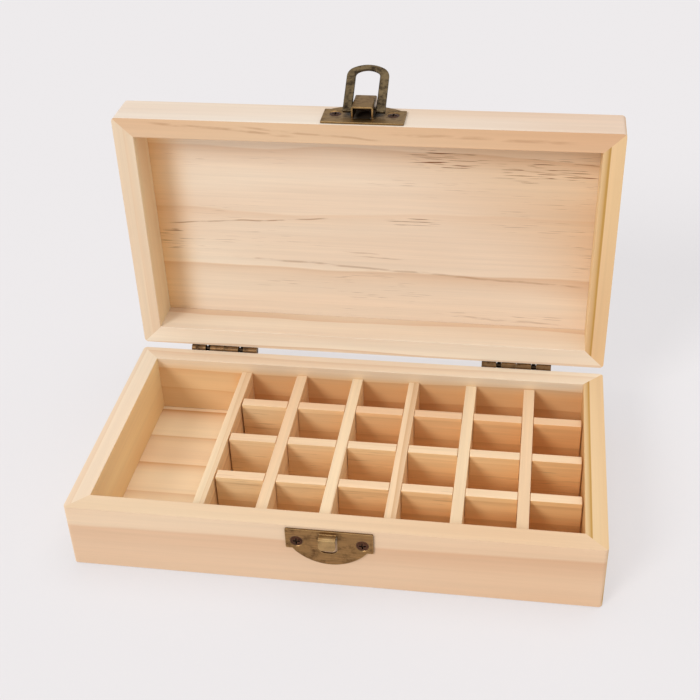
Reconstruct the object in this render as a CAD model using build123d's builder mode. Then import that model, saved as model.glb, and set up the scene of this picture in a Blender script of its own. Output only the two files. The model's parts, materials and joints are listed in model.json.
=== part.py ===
from build123d import *
import math
import os

# A pine storage box for small oil bottles, open on its two hinges.
# The base holds one long compartment and a grid of square cells. The lid is a shallow tray.
# A brass-coloured hasp joins them at the front: a swinging loop on the lid drops over a hook on the base.
# Millimetres. X runs along the box, Y towards the hinges, Z up. The origin is the middle of the underside.

# Carcass
box_width = 246.0
box_depth = 131.0
base_height = 35.0
lid_height = 22.5
wall_thickness = 10.0
panel_thickness = 2.5
rebate_width = 5.0
panel_clearance = 0.1
corner_radius = 2.0
lid_edge_chamfer = 1.2
base_edge_chamfer = 0.6
lid_open_angle = 90.0

# Dividers
columns = 6
rows = 4
cell_width = 24.4
cell_depth = 23.2
divider_thickness = 5.5
divider_recess = 5.5
divider_end_gap = 0.1
cross_end_gap = 0.7
lap_gap = 0.2

# Hinges
hinge_length = 36.0
hinge_inset = 44.6
leaf_height = 11.5
leaf_thickness = 1.0
leaf_gap = 0.4
pin_diameter = 2.3
pin_clearance = 0.05
stop_slot_width = 2.5
knuckle_gap = 0.2
stop_reach = 2.6
stop_gap = 0.02
leaf_screw_spacing = 22.0
leaf_screw_drop = 7.2

# Screws
hinge_screw_head = 4.6
hinge_screw_shank = 2.2
hinge_screw_length = 8.0
hasp_screw_head = 5.8
hasp_screw_shank = 2.6
hasp_screw_length = 8.5
head_crown = 0.45
head_sink = 0.25
hasp_screw_angle = 90.0
drive_width = 0.8
drive_depth = 0.9

# Hasp plates
plate_width = 40.0
plate_thickness = 1.0
plate_corner_radius = 0.7
plate_shoulder = 3.0
hasp_rim_gap = 1.2
hasp_side_height = 15.3
hasp_arc_rise = 5.0
hasp_screw_spacing = 28.0
hasp_screw_rise = 9.7
keeper_rim_gap = 1.2
keeper_side_height = 11.3
keeper_arc_rise = 8.5
keeper_screw_spacing = 30.0
keeper_screw_drop = 7.0
keeper_offset = 0.8

# Loop and the hood that holds it
hood_width = 10.6
hood_height = 5.8
hood_wall = 0.8
hood_near = 6.0
hood_length = 15.2
hood_offset = -0.4
hood_bend = 1.1
pivot_rise = 10.8
pivot_standoff = 2.9
trunnion_diameter = 1.4
trunnion_clearance = 0.05
trunnion_inset = 0.7
loop_width = 20.6
loop_reach = 24.8
loop_leg_width = 4.4
loop_bar_width = 2.9
loop_thickness = 1.4
loop_heel = 2.1
loop_crown_radius = 16.0
loop_shoulder_radius = 5.5
loop_eye_crown_radius = 9.0
loop_eye_shoulder_radius = 2.8
loop_rest_angle = 147.0

# Hook on the keeper
hook_width = 7.8
hook_offset = -0.5
hook_drop = 1.8
hook_standoff = 3.7
hook_length = 7.6
hook_lip = 1.4
hook_bend = 1.1
hook_corner_radius = 3.6
hook_slot_gap = 0.2

# Worked out from the above
right = Vector(1, 0, 0)
back = Vector(0, 1, 0)
up = Vector(0, 0, 1)
inner_width = box_width - 2 * wall_thickness
inner_depth = box_depth - 2 * wall_thickness
knuckle_radius = pin_diameter / 2 + pin_clearance + leaf_thickness
hinge_axis_y = box_depth / 2 + knuckle_radius
knuckle_length = (hinge_length - 2 * stop_slot_width) / 4
column_pitch = cell_width + divider_thickness
row_pitch = cell_depth + divider_thickness
divider_height = base_height - panel_thickness - divider_recess

# The lid swings about the hinge axis, so its frame follows the opening angle.
# The frame stands on the lid's rim: x to the right, y towards the hinges, z towards the top panel.
open_angle = math.radians(lid_open_angle)
lid_up = Vector(0, math.sin(open_angle), math.cos(open_angle))
lid_back = Vector(0, math.cos(open_angle), -math.sin(open_angle))
lid_half = Plane(
    origin=Vector(0, hinge_axis_y, base_height) - lid_back * hinge_axis_y,
    x_dir=right,
    z_dir=lid_up,
)

# The base's frame is the same one turned over: z runs from the rim down to the bottom panel, y to the front.
base_half = Plane(origin=(0, 0, base_height), x_dir=right, z_dir=up * -1)

# The front faces that carry the hasp, with y up the closed box and z out of the wood.
keeper_face = Plane(origin=(keeper_offset, -box_depth / 2, base_height), x_dir=right, z_dir=back * -1)
hasp_face = Plane(
    origin=lid_half.from_local_coords(Vector(0, -box_depth / 2, 0)),
    x_dir=right,
    z_dir=lid_back * -1,
)


def seats(face, spots):
    """Planes at the rims of sunk screw heads, one for each x, y spot of the face they are driven into."""
    places = []
    for x, y in spots:
        origin = face.from_local_coords(Vector(x, y, -head_sink))
        places.append(Plane(origin=origin, x_dir=face.x_dir, z_dir=face.z_dir))
    return places


def screws(places, head, shank, length, angle, crown=0.0):
    """Countersunk screws, one at each seat. A crowned head carries the cross drive, a flat one is left plain."""
    cone_depth = (head - shank) / 2 / math.tan(math.radians(angle / 2))
    with BuildPart() as one_screw:
        with BuildSketch(Plane.XZ):
            with BuildLine():
                Polyline(
                    (0, crown),
                    (0, -length),
                    (shank / 2, -length),
                    (shank / 2, -cone_depth),
                    (head / 2, 0),
                    close=True,
                )
            make_face()
        revolve(axis=Axis.Z)
        if crown:
            with BuildSketch(Plane.XY.offset(crown)):
                Rectangle(head * 0.58, drive_width)
                Rectangle(drive_width, head * 0.58)
            extrude(amount=-drive_depth, mode=Mode.SUBTRACT)
    with BuildPart() as group:
        with Locations(*places):
            add(one_screw.part)
    return group


def cut_screw_holes(places, head, shank, length, angle):
    """Holes of the screws' own size in the piece being built, with the countersinks run out past the heads."""
    rim_radius = head / 2 + head_sink * math.tan(math.radians(angle / 2))
    with Locations(*[place.offset(head_sink) for place in places]):
        CounterSinkHole(
            shank / 2,
            rim_radius,
            depth=length + head_sink,
            counter_sink_angle=angle,
        )


def wall(half, height, edge_chamfer, side, places=(), screw=None):
    """One mitred wall of a box half, rebated for the thin panel. side is its outward x, y in that half."""
    side_x, side_y = side
    outer_x = box_width / 2
    outer_y = box_depth / 2
    inner_x = inner_width / 2
    inner_y = inner_depth / 2
    if side_y:
        outline = [
            (-outer_x, side_y * outer_y),
            (outer_x, side_y * outer_y),
            (inner_x, side_y * inner_y),
            (-inner_x, side_y * inner_y),
        ]
    else:
        outline = [
            (side_x * outer_x, -outer_y),
            (side_x * outer_x, outer_y),
            (side_x * inner_x, inner_y),
            (side_x * inner_x, -inner_y),
        ]
    with BuildPart() as piece:
        with BuildSketch(half):
            RectangleRounded(box_width, box_depth, corner_radius)
        extrude(amount=height)
        panel_side = piece.faces().sort_by(Axis(half.origin, half.z_dir))[-1]
        chamfer(panel_side.edges(), length=min(edge_chamfer, 0.9 * corner_radius))
        with BuildSketch(half):
            Rectangle(inner_width, inner_depth)
        extrude(amount=height, mode=Mode.SUBTRACT)
        with BuildSketch(half.offset(height - panel_thickness)):
            Rectangle(inner_width + 2 * rebate_width, inner_depth + 2 * rebate_width)
        extrude(amount=panel_thickness, mode=Mode.SUBTRACT)
        with BuildSketch(half):
            with BuildLine():
                Polyline(*outline, close=True)
            make_face()
        extrude(amount=height, mode=Mode.INTERSECT)
        if places:
            cut_screw_holes(places, *screw)
    return piece


def panel(half, height):
    """The thin board let into the rebates of a box half."""
    with BuildPart() as piece:
        with BuildSketch(half.offset(height - panel_thickness)):
            Rectangle(
                inner_width + 2 * (rebate_width - panel_clearance),
                inner_depth + 2 * (rebate_width - panel_clearance),
            )
        extrude(amount=panel_thickness)
    return piece


def long_divider(middle_x, slots=()):
    """A board from front to back, slotted from below where it straddles the cross dividers."""
    with BuildPart() as piece:
        with BuildSketch(Plane.YZ.offset(middle_x - divider_thickness / 2)):
            with Locations((0, panel_thickness + divider_height / 2)):
                Rectangle(inner_depth - 2 * divider_end_gap, divider_height)
            for slot_y in slots:
                with Locations((slot_y, panel_thickness + divider_height / 4)):
                    Rectangle(divider_thickness + 2 * lap_gap, divider_height / 2, mode=Mode.SUBTRACT)
        extrude(amount=divider_thickness)
    return piece


def cross_divider(middle_y, left_x, slots):
    """A board across the cells, slotted from above for the long dividers."""
    right_x = inner_width / 2 - cross_end_gap
    with BuildPart() as piece:
        with BuildSketch(Plane.XZ.offset(-middle_y - divider_thickness / 2)):
            with Locations(((left_x + right_x) / 2, panel_thickness + divider_height / 2)):
                Rectangle(right_x - left_x, divider_height)
            for slot_x in slots:
                with Locations((slot_x, panel_thickness + divider_height * 3 / 4)):
                    Rectangle(divider_thickness + 2 * lap_gap, divider_height / 2, mode=Mode.SUBTRACT)
        extrude(amount=divider_thickness)
    return piece


def leaf_face(section):
    """The plane of the wood behind a hinge leaf. x runs along the hinge and -y away from the pin."""
    origin = section.from_local_coords(Vector(-knuckle_radius, 0, 0))
    return Plane(origin=origin, x_dir=section.z_dir, z_dir=section.x_dir)


def leaf_seats(section):
    """Screw seats on the outside of a hinge leaf."""
    middle = hinge_length / 2
    spots = [(middle + side * leaf_screw_spacing / 2, -leaf_screw_drop) for side in (-1, 1)]
    return seats(leaf_face(section).offset(leaf_thickness), spots)


def stop_profile():
    """Side view of a tongue bent out of a leaf. At the open angle it butts against the other leaf's tongue."""
    half_angle = math.radians(90 - lid_open_angle / 2)
    along = Vector(math.sin(half_angle), math.cos(half_angle))
    away = Vector(-math.cos(half_angle), math.sin(half_angle))
    tip = along * stop_reach + away * stop_gap
    run = (tip.X + knuckle_radius - leaf_thickness / 2) / math.cos(half_angle)
    root = tip + away * run
    edge = along * (leaf_thickness / 2)
    corners = [tip + edge, tip - edge, root - edge, root + edge]
    with BuildSketch() as profile:
        with BuildLine():
            Polyline(*[(corner.X, corner.Y) for corner in corners], close=True)
        make_face()
    return profile.sketch


def hinge_leaf(section):
    """One stamped leaf: a flat plate, two rolled knuckles and two stop tongues.

    Both leaves of a hinge are this same stamping. The section's origin is on the pin axis at one end of
    the hinge, x points out of the wood, y along the leaf and z along the hinge.
    """
    flat_start = knuckle_radius + leaf_gap
    starts = [0, 2 * knuckle_length + stop_slot_width]
    slots = [knuckle_length, 3 * knuckle_length + stop_slot_width]
    tongue = stop_profile()
    with BuildPart() as leaf:
        with BuildSketch(leaf_face(section)):
            with Locations((hinge_length / 2, -(flat_start + leaf_height) / 2)):
                Rectangle(hinge_length, leaf_height - flat_start)
        extrude(amount=leaf_thickness)
        for start in starts:
            first = start + (knuckle_gap / 2 if start else 0)
            with BuildSketch(section.offset(first)):
                Circle(knuckle_radius)
                with Locations(((leaf_thickness / 2 - knuckle_radius), flat_start / 2)):
                    Rectangle(leaf_thickness, flat_start)
                Circle(pin_diameter / 2 + pin_clearance, mode=Mode.SUBTRACT)
            extrude(amount=knuckle_length - knuckle_gap / 2)
        for slot in slots:
            with BuildSketch(section.offset(slot + knuckle_gap)):
                add(tongue)
            extrude(amount=stop_slot_width - 2 * knuckle_gap)
        cut_screw_holes(leaf_seats(section), *hinge_screw)
    return leaf


def hinge_pin(section):
    """The wire pin, as long as the hinge."""
    with BuildPart() as pin:
        with BuildSketch(section):
            Circle(pin_diameter / 2)
        extrude(amount=hinge_length)
    return pin


def plate_outline(straight_y, direction, side_height, arc_rise):
    """A hasp plate's outline: a straight edge near the rim, square shoulders and a bowed far edge."""
    far_y = straight_y + direction * side_height
    arc_start = plate_width / 2 - plate_shoulder
    with BuildSketch() as outline:
        with BuildLine():
            Polyline(
                (-arc_start, far_y),
                (-plate_width / 2, far_y),
                (-plate_width / 2, straight_y),
                (plate_width / 2, straight_y),
                (plate_width / 2, far_y),
                (arc_start, far_y),
            )
            ThreePointArc((arc_start, far_y), (0, far_y + direction * arc_rise), (-arc_start, far_y))
        make_face()
        ends = outline.vertices().sort_by(Axis.X)
        fillet(ends[:2] + ends[-2:], radius=plate_corner_radius)
    return outline.sketch


def bowed_shape(half_width, start_y, end_y, crown_radius, shoulder_radius):
    """A flat shape with straight sides, rounded shoulders and an end bowed to the crown radius."""
    side_y = end_y - crown_radius + math.sqrt(crown_radius**2 - half_width**2)
    with BuildSketch() as shape:
        with BuildLine():
            Polyline((-half_width, side_y), (-half_width, start_y), (half_width, start_y), (half_width, side_y))
            ThreePointArc((half_width, side_y), (0, end_y), (-half_width, side_y))
        make_face()
        fillet(shape.vertices().sort_by(Axis.Y)[2:], radius=shoulder_radius)
    return shape.sketch


# The hinge screws' cones end at the back of the leaf, so the wood behind it has plain holes.
hinge_screw_cone = leaf_thickness - head_sink
hinge_screw_angle = 2 * math.degrees(math.atan((hinge_screw_head - hinge_screw_shank) / 2 / hinge_screw_cone))
hinge_screw = (hinge_screw_head, hinge_screw_shank, hinge_screw_length, hinge_screw_angle)
hasp_screw = (hasp_screw_head, hasp_screw_shank, hasp_screw_length, hasp_screw_angle)

# Hinges. The base's leaves count their knuckles from the right, the lid's from the left,
# so the two stampings mesh.
hinge_sections = {}
for name, sign in (("left", -1), ("right", 1)):
    middle = sign * (box_width / 2 - hinge_inset)
    hinge_sections[name] = {
        "base": Plane(
            origin=(middle + hinge_length / 2, hinge_axis_y, base_height),
            x_dir=back,
            z_dir=right * -1,
        ),
        "lid": Plane(
            origin=(middle - hinge_length / 2, hinge_axis_y, base_height),
            x_dir=lid_back,
            z_dir=right,
        ),
    }
left_hinge = hinge_sections["left"]
right_hinge = hinge_sections["right"]
left_hinge_base_leaf = hinge_leaf(left_hinge["base"])
right_hinge_base_leaf = hinge_leaf(right_hinge["base"])
left_hinge_lid_leaf = hinge_leaf(left_hinge["lid"])
right_hinge_lid_leaf = hinge_leaf(right_hinge["lid"])
left_hinge_pin = hinge_pin(left_hinge["lid"])
right_hinge_pin = hinge_pin(right_hinge["lid"])
base_hinge_seats = leaf_seats(left_hinge["base"]) + leaf_seats(right_hinge["base"])
lid_hinge_seats = leaf_seats(left_hinge["lid"]) + leaf_seats(right_hinge["lid"])
base_hinge_screws = screws(base_hinge_seats, *hinge_screw)
lid_hinge_screws = screws(lid_hinge_seats, *hinge_screw)

# Screws of the hasp
keeper_screw_y = -(keeper_rim_gap + keeper_screw_drop)
keeper_spots = [(-keeper_screw_spacing / 2, keeper_screw_y), (keeper_screw_spacing / 2, keeper_screw_y)]
keeper_seats = seats(keeper_face.offset(plate_thickness), keeper_spots)
keeper_screws = screws(keeper_seats, *hasp_screw, crown=head_crown)
hasp_screw_y = hasp_rim_gap + hasp_screw_rise
hasp_spots = [(-hasp_screw_spacing / 2, hasp_screw_y), (hasp_screw_spacing / 2, hasp_screw_y)]
hasp_seats = seats(hasp_face.offset(plate_thickness), hasp_spots)
hasp_screws = screws(hasp_seats, *hasp_screw, crown=head_crown)

# Base carcass. Its half is turned over, so its front wall faces +y there.
base_front_wall = wall(base_half, base_height, base_edge_chamfer, (0, 1), keeper_seats, hasp_screw)
base_back_wall = wall(base_half, base_height, base_edge_chamfer, (0, -1), base_hinge_seats, hinge_screw)
base_left_wall = wall(base_half, base_height, base_edge_chamfer, (-1, 0))
base_right_wall = wall(base_half, base_height, base_edge_chamfer, (1, 0))
base_bottom_panel = panel(base_half, base_height)

# Lid carcass
lid_front_wall = wall(lid_half, lid_height, lid_edge_chamfer, (0, -1), hasp_seats, hasp_screw)
lid_back_wall = wall(lid_half, lid_height, lid_edge_chamfer, (0, 1), lid_hinge_seats, hinge_screw)
lid_left_wall = wall(lid_half, lid_height, lid_edge_chamfer, (-1, 0))
lid_right_wall = wall(lid_half, lid_height, lid_edge_chamfer, (1, 0))
lid_top_panel = panel(lid_half, lid_height)

# Dividers, counted from the left and from the front but set out from the right and back walls,
# so the front row is left a little deeper. The first long one parts off the compartment.
# The cross dividers stop at it, and all the others are half lapped.
long_middles = [inner_width / 2 - cell_width - divider_thickness / 2 - i * column_pitch for i in range(columns)]
long_middles.reverse()
cross_middles = [inner_depth / 2 - cell_depth - divider_thickness / 2 - i * row_pitch for i in range(rows - 1)]
cross_middles.reverse()
cross_left = long_middles[0] + divider_thickness / 2 + cross_end_gap
dividers = {"compartment_partition": long_divider(long_middles[0])}
for i, middle in enumerate(long_middles[1:], start=1):
    dividers[f"long_divider_{i}"] = long_divider(middle, slots=cross_middles)
for i, middle in enumerate(cross_middles, start=1):
    dividers[f"cross_divider_{i}"] = cross_divider(middle, cross_left, long_middles[1:])

# Keeper plate. Its hook is a strip cut free on three sides and folded out of the plate, down and in again,
# which leaves a slot behind it. The loop's bar rests below the lip.
hook_top = -(keeper_rim_gap + hook_drop)
hook_out = plate_thickness + hook_standoff
hook_tip = hook_top - hook_length
hook_knee = hook_tip + hook_lip
half_sheet = plate_thickness / 2
slot_top = hook_top - plate_thickness
slot_width = hook_width + 2 * hook_slot_gap
slot_length = hook_length + hook_standoff - plate_thickness
hook_section = Plane(origin=keeper_face.origin, x_dir=back * -1, z_dir=right * -1)
keeper_outline = plate_outline(-keeper_rim_gap, -1, keeper_side_height, keeper_arc_rise)
with BuildPart() as hook:
    with BuildSketch(hook_section.offset(-hook_offset - hook_width / 2)):
        with BuildLine():
            FilletPolyline(
                (half_sheet, hook_top + plate_thickness),
                (half_sheet, hook_top - half_sheet),
                (hook_out - half_sheet, hook_top - half_sheet),
                (hook_out - half_sheet, hook_knee),
                (hook_out - half_sheet - hook_lip, hook_tip),
                radius=hook_bend,
            )
        trace(line_width=plate_thickness)
    extrude(amount=hook_width)
    with BuildSketch(keeper_face):
        with Locations((hook_offset, (hook_top + plate_thickness + hook_tip) / 2)):
            hook_front = Rectangle(hook_width, hook_length + plate_thickness)
        fillet(hook_front.vertices().group_by(Axis.Y)[0], radius=hook_corner_radius)
    extrude(amount=hook_out, mode=Mode.INTERSECT)
with BuildPart() as keeper_plate:
    with BuildSketch(keeper_face):
        add(keeper_outline)
        with Locations((hook_offset, slot_top - slot_length / 2)):
            Rectangle(slot_width, slot_length, mode=Mode.SUBTRACT)
    extrude(amount=plate_thickness)
    slot_floor = base_height + slot_top - slot_length
    slot_corners = keeper_plate.edges().filter_by(Axis.Y)
    fillet(slot_corners.filter_by_position(Axis.Z, slot_floor - 0.01, slot_floor + 0.01), radius=slot_width / 3)
    add(hook.part)
    cut_screw_holes(keeper_seats, *hasp_screw)

# Hasp plate. The hood is pressed up out of it and left open towards the rim, with a hole each side for the loop.
hood_middle = hood_near + hood_length / 2
hood_axis = Plane(
    origin=hasp_face.from_local_coords(Vector(0, pivot_rise, plate_thickness + pivot_standoff)),
    x_dir=hasp_face.y_dir,
    z_dir=right,
)
hasp_out = Axis(hasp_face.origin, hasp_face.z_dir)
hasp_up = Axis(hasp_face.origin, hasp_face.y_dir)
hasp_outline = plate_outline(hasp_rim_gap, 1, hasp_side_height, hasp_arc_rise)
with BuildPart() as hasp_plate:
    with BuildSketch(hasp_face):
        with Locations((hood_offset, hood_middle)):
            Rectangle(hood_width, hood_length)
    extrude(amount=plate_thickness + hood_height)
    roof = hasp_plate.faces().sort_by(hasp_out)[-1]
    fillet(roof.edges().sort_by(hasp_up)[1:], radius=hood_bend)
    with BuildSketch(hasp_face):
        add(hasp_outline)
    extrude(amount=plate_thickness)
    with BuildSketch(hasp_face):
        with Locations((hood_offset, hood_middle - hood_wall / 2)):
            Rectangle(hood_width - 2 * hood_wall, hood_length - hood_wall)
    extrude(amount=plate_thickness + hood_height - hood_wall, mode=Mode.SUBTRACT)
    with BuildSketch(hood_axis.offset(hood_offset - hood_width / 2)):
        Circle(trunnion_diameter / 2 + trunnion_clearance)
    extrude(amount=hood_width, mode=Mode.SUBTRACT)
    cut_screw_holes(hasp_seats, *hasp_screw)

# Loop. It stands on its trunnions at the rest angle, measured from the latched direction.
rest_angle = math.radians(loop_rest_angle)
loop_direction = hasp_face.z_dir * math.sin(rest_angle) - hasp_face.y_dir * math.cos(rest_angle)
loop_plane = Plane(origin=hood_axis.origin, x_dir=right, z_dir=right.cross(loop_direction))
eye_half_width = loop_width / 2 - loop_leg_width
trunnion_length = eye_half_width - hood_width / 2 + hood_wall + trunnion_inset
eye_reach = loop_reach - loop_bar_width
loop_outline = bowed_shape(loop_width / 2, -loop_heel, loop_reach, loop_crown_radius, loop_shoulder_radius)
eye_outline = bowed_shape(eye_half_width, -loop_heel, eye_reach, loop_eye_crown_radius, loop_eye_shoulder_radius)
with BuildPart() as hasp_loop:
    with BuildSketch(loop_plane.offset(-loop_thickness / 2)):
        add(loop_outline)
        add(eye_outline, mode=Mode.SUBTRACT)
    extrude(amount=loop_thickness)
    for side in (-1, 1):
        with BuildSketch(hood_axis.offset(side * eye_half_width)):
            Circle(trunnion_diameter / 2)
        extrude(amount=-side * trunnion_length)

pieces = {
    "base_front_wall": base_front_wall,
    "base_back_wall": base_back_wall,
    "base_left_wall": base_left_wall,
    "base_right_wall": base_right_wall,
    "base_bottom_panel": base_bottom_panel,
    **dividers,
    "left_hinge_base_leaf": left_hinge_base_leaf,
    "right_hinge_base_leaf": right_hinge_base_leaf,
    "left_hinge_pin": left_hinge_pin,
    "right_hinge_pin": right_hinge_pin,
    "base_hinge_screws": base_hinge_screws,
    "keeper_plate": keeper_plate,
    "keeper_screws": keeper_screws,
    "lid_front_wall": lid_front_wall,
    "lid_back_wall": lid_back_wall,
    "lid_left_wall": lid_left_wall,
    "lid_right_wall": lid_right_wall,
    "lid_top_panel": lid_top_panel,
    "left_hinge_lid_leaf": left_hinge_lid_leaf,
    "right_hinge_lid_leaf": right_hinge_lid_leaf,
    "lid_hinge_screws": lid_hinge_screws,
    "hasp_plate": hasp_plate,
    "hasp_screws": hasp_screws,
    "hasp_loop": hasp_loop,
}

os.makedirs("parts", exist_ok=True)
for name, piece in pieces.items():
    piece.part.label = name
    export_step(piece.part, f"parts/{name}.step")
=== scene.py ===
import json
import math
from collections import namedtuple

import bmesh
import bpy
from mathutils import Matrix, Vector


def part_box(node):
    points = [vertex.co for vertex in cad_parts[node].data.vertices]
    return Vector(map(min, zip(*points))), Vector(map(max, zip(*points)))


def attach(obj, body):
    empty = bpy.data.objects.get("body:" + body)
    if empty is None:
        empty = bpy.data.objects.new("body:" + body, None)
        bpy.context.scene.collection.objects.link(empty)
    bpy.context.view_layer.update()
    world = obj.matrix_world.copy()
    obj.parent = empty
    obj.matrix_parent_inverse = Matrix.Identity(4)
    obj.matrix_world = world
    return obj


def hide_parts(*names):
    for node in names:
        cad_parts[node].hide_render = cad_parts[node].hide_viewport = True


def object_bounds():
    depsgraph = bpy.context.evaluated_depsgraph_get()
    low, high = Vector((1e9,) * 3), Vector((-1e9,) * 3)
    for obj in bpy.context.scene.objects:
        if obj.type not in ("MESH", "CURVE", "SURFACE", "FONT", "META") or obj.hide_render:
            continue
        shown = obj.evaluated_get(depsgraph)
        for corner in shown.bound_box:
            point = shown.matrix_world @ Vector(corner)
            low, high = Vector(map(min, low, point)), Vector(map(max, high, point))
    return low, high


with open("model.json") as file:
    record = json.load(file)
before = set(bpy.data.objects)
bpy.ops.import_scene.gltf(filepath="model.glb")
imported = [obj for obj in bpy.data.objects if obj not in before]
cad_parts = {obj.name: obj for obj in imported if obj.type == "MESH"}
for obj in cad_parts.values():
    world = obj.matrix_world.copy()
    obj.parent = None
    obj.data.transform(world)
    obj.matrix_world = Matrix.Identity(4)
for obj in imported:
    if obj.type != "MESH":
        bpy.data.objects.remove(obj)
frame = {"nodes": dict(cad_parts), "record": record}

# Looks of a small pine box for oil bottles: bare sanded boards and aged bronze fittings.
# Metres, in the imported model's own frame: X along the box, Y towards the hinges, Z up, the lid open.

CAD_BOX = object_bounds()
MM = 0.001

RIGHT, LEFT = (1, 0, 0), (-1, 0, 0)
BACK, FRONT = (0, 1, 0), (0, -1, 0)
UP, DOWN = (0, 0, 1), (0, 0, -1)

# Camera, fitted to the box's corners in the photograph
LENS = 61.88
SENSOR_WIDTH = 36
NEAREST_SEEN = 10 * MM
CAMERA_PLACE = (0.08117, -0.45278, 0.40237)
CAMERA_TURN = (55.479, 1.884, 8.600)

# Light: where each sun stands, how strong and how wide it is, and the room's own glow
KEY_FROM = (-0.70, -1.05, 0.80)
KEY_LEVEL = 1.3
KEY_SPREAD = 20
TOP_FROM = (0.15, 0.1, 1.0)
TOP_LEVEL = 0.95
TOP_SPREAD = 50
ROOM_LEVEL = 0.6

# Studio floor and walls. The camera sees the paper's own colour and this share of the light on it.
FLOOR_REACH = 6.0
WHITE = (255, 255, 255)
STUDIO_WHITE = (236, 233, 232)
PAPER_SEEN = (230, 227, 230)
PAPER_SHADOW_SHARE = 0.42

# Softened edges: how wide, which edges are long and sharp enough, in degrees, and which faces count as one
BOARD_EASE = 0.35 * MM
PANEL_EASE = 0.2 * MM
DIVIDER_EASE = 0.25 * MM
SHEET_EASE = 0.12 * MM
PIN_EASE = 0.05 * MM
SCREW_EASE = 0.04 * MM
LOOP_EASE = 0.25 * MM
SHORTEST_BOARD_EDGE = 6 * MM
SHORTEST_DIVIDER_EDGE = 2 * MM
SHARP_EDGE_ANGLE = 35
FLAT_ANGLE = 0.5
SMOOTH_ANGLE = 18
WELD_DISTANCE = 0.002 * MM
MITRE_SLACK = 0.05

# Cross recesses of the hinge screws: arm length and half width as shares of the head's radius, the depth in
# millimetres, and how each one is turned, in radians. Corners this near the top belong to the head's face.
CROSS_REACH = 0.62
CROSS_HALF_WIDTH = 0.14
CROSS_DEPTH = 0.55
HEAD_FACE_DEPTH = 0.05 * MM
FIRST_CROSS_TURN = 0.3
NEXT_CROSS_TURN = 1.1

# Wood tones of each board, as they look in flat light: the pale wood and its pinkish patches
BASE_FRONT_TONES = {"pale": (238, 214, 181), "blush": (234, 204, 169)}
BASE_BACK_TONES = {"pale": (240, 226, 203), "blush": (232, 208, 181)}
BASE_LEFT_TONES = BASE_BACK_TONES
BASE_RIGHT_TONES = {"pale": (226, 196, 152), "blush": (222, 186, 142)}
FLOOR_TONES = {"pale": (242, 221, 186), "blush": (235, 205, 168)}
LID_FRONT_TONES = {"pale": (225, 193, 158), "blush": (219, 181, 145)}
LID_BACK_TONES = {"pale": (242, 228, 207), "blush": (234, 210, 184)}
LID_LEFT_TONES = {"pale": (234, 217, 190), "blush": (227, 199, 169)}
LID_RIGHT_TONES = {"pale": (230, 195, 148), "blush": (224, 184, 140)}
LID_PANEL_TONES = {"pale": (241, 226, 205), "blush": (236, 214, 190)}
CROSS_DIVIDER_TONES = {"pale": (240, 196, 139), "blush": (232, 178, 121)}
LONG_DIVIDER_TONES = {"pale": (249, 218, 171), "blush": (243, 203, 155)}
RING_BROWN = (205, 152, 98)
ROSE_RING = (214, 170, 132)
OLIVE_RING = (190, 146, 76)
RESIN_BROWN = (134, 92, 56)
HAIRLINE_KEPT = (0.45, 0.3, 0.2)
# Painted shade under the hasp's hood: the share of the wood's colour kept there
HOOD_SHADE_KEPT = (0.05, 0.04, 0.03)

# Where the right walls' ring line lies, in from the inner face, and how many rings it is from the pith
BASE_RING_LINE = 3.2 * MM
LID_RING_LINE = 3.6 * MM
RINGS_TO_PITH = 10

# How the dividers' grain differs from one to the next
NEXT_DIVIDER_SWING = 2.4
FIRST_DIVIDER_SHIFT = 13
NEXT_DIVIDER_SHIFT = 1.3

# Hairlines on the lid: start x and z, end x and z, half width, all in millimetres, and how dark
LID_FRONT_HAIRLINES = [
    (-108, 166.5, -30, 161.5, 1.0, 0.4),
    (-62, 165.5, 14, 160.5, 0.8, 0.35),
    (10, 164.5, 104, 162.5, 1.2, 0.3),
]
LID_PANEL_HAIRLINES = [
    (-112, 100, -13, 108, 0.55, 0.75),
    (-76, 82, 113, 73, 0.9, 0.45),
    (-17, 88, 14, 86.5, 0.5, 0.6),
    (-12, 85.5, 20, 84.5, 0.5, 0.5),
    (26, 141, 57, 138.5, 0.45, 0.8),
    (66, 140, 110, 135.5, 0.5, 0.7),
    (40, 52, 107, 49, 0.7, 0.4),
]

# Resin clusters on the lid's panel: middle x and z, reach along x and z, in millimetres, and strength
LID_RESIN_SPOTS = [
    (38, 142, 26, 8, 1.0),
    (88, 138, 34, 9, 0.8),
    (24, 107, 20, 3.5, 0.8),
    (-106, 92, 9, 11, 0.4),
    (70, 52, 48, 4, 0.4),
    (107, 92, 12, 20, 0.35),
]
RESIN_REACH_THROUGH = 20 * MM

# Grain: waves of each pattern in a metre, along the board and both ways across it
WANDER_WAVES = (7, 22, 22)
WEATHER_WAVES = (9, 60, 60)
PATCH_WAVES = (3.5, 30, 30)
FINE_FIBRE_WAVES = (30, 1900, 1900)
BROAD_FIBRE_WAVES = (6, 330, 330)
RESIN_DASH_WAVES = (64, 1700, 1700)
RESIN_CLUSTER_WAVES = (11, 42, 42)
HAIRLINE_WAVES = (24, 0, 24)
HAIRLINE_GAP_WAVES = (85, 0, 400)

# Grain: how a year's ring darkens, how the years and the weather vary, and where patterns start and are full
SLOW_RING_POWER = 2.2
SHARP_RING_POWER = 9.0
RING_END = 0.965
YEAR_RANGE, YEAR_LEAST = 0.6, 0.5
WEATHER_LEAST = 0.45
PATCH_RANGE = (0.32, 0.68)
FINE_FIBRE_SHARE = 0.35
RESIN_DASH_RANGE = (0.62, 0.72)
RESIN_CLUSTER_RANGE = (0.53, 0.66)
RESIN_SPOT_LIFT = 0.06
HAIRLINE_WAVER = 4 * MM
HAIRLINE_EDGE = 0.2
HAIRLINE_TAPER = 12 * MM
HAIRLINE_GAP_RANGE = (0.32, 0.6)
FACING_RANGE = (0.6, 0.85)
SPOT_CORE = 0.5

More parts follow.
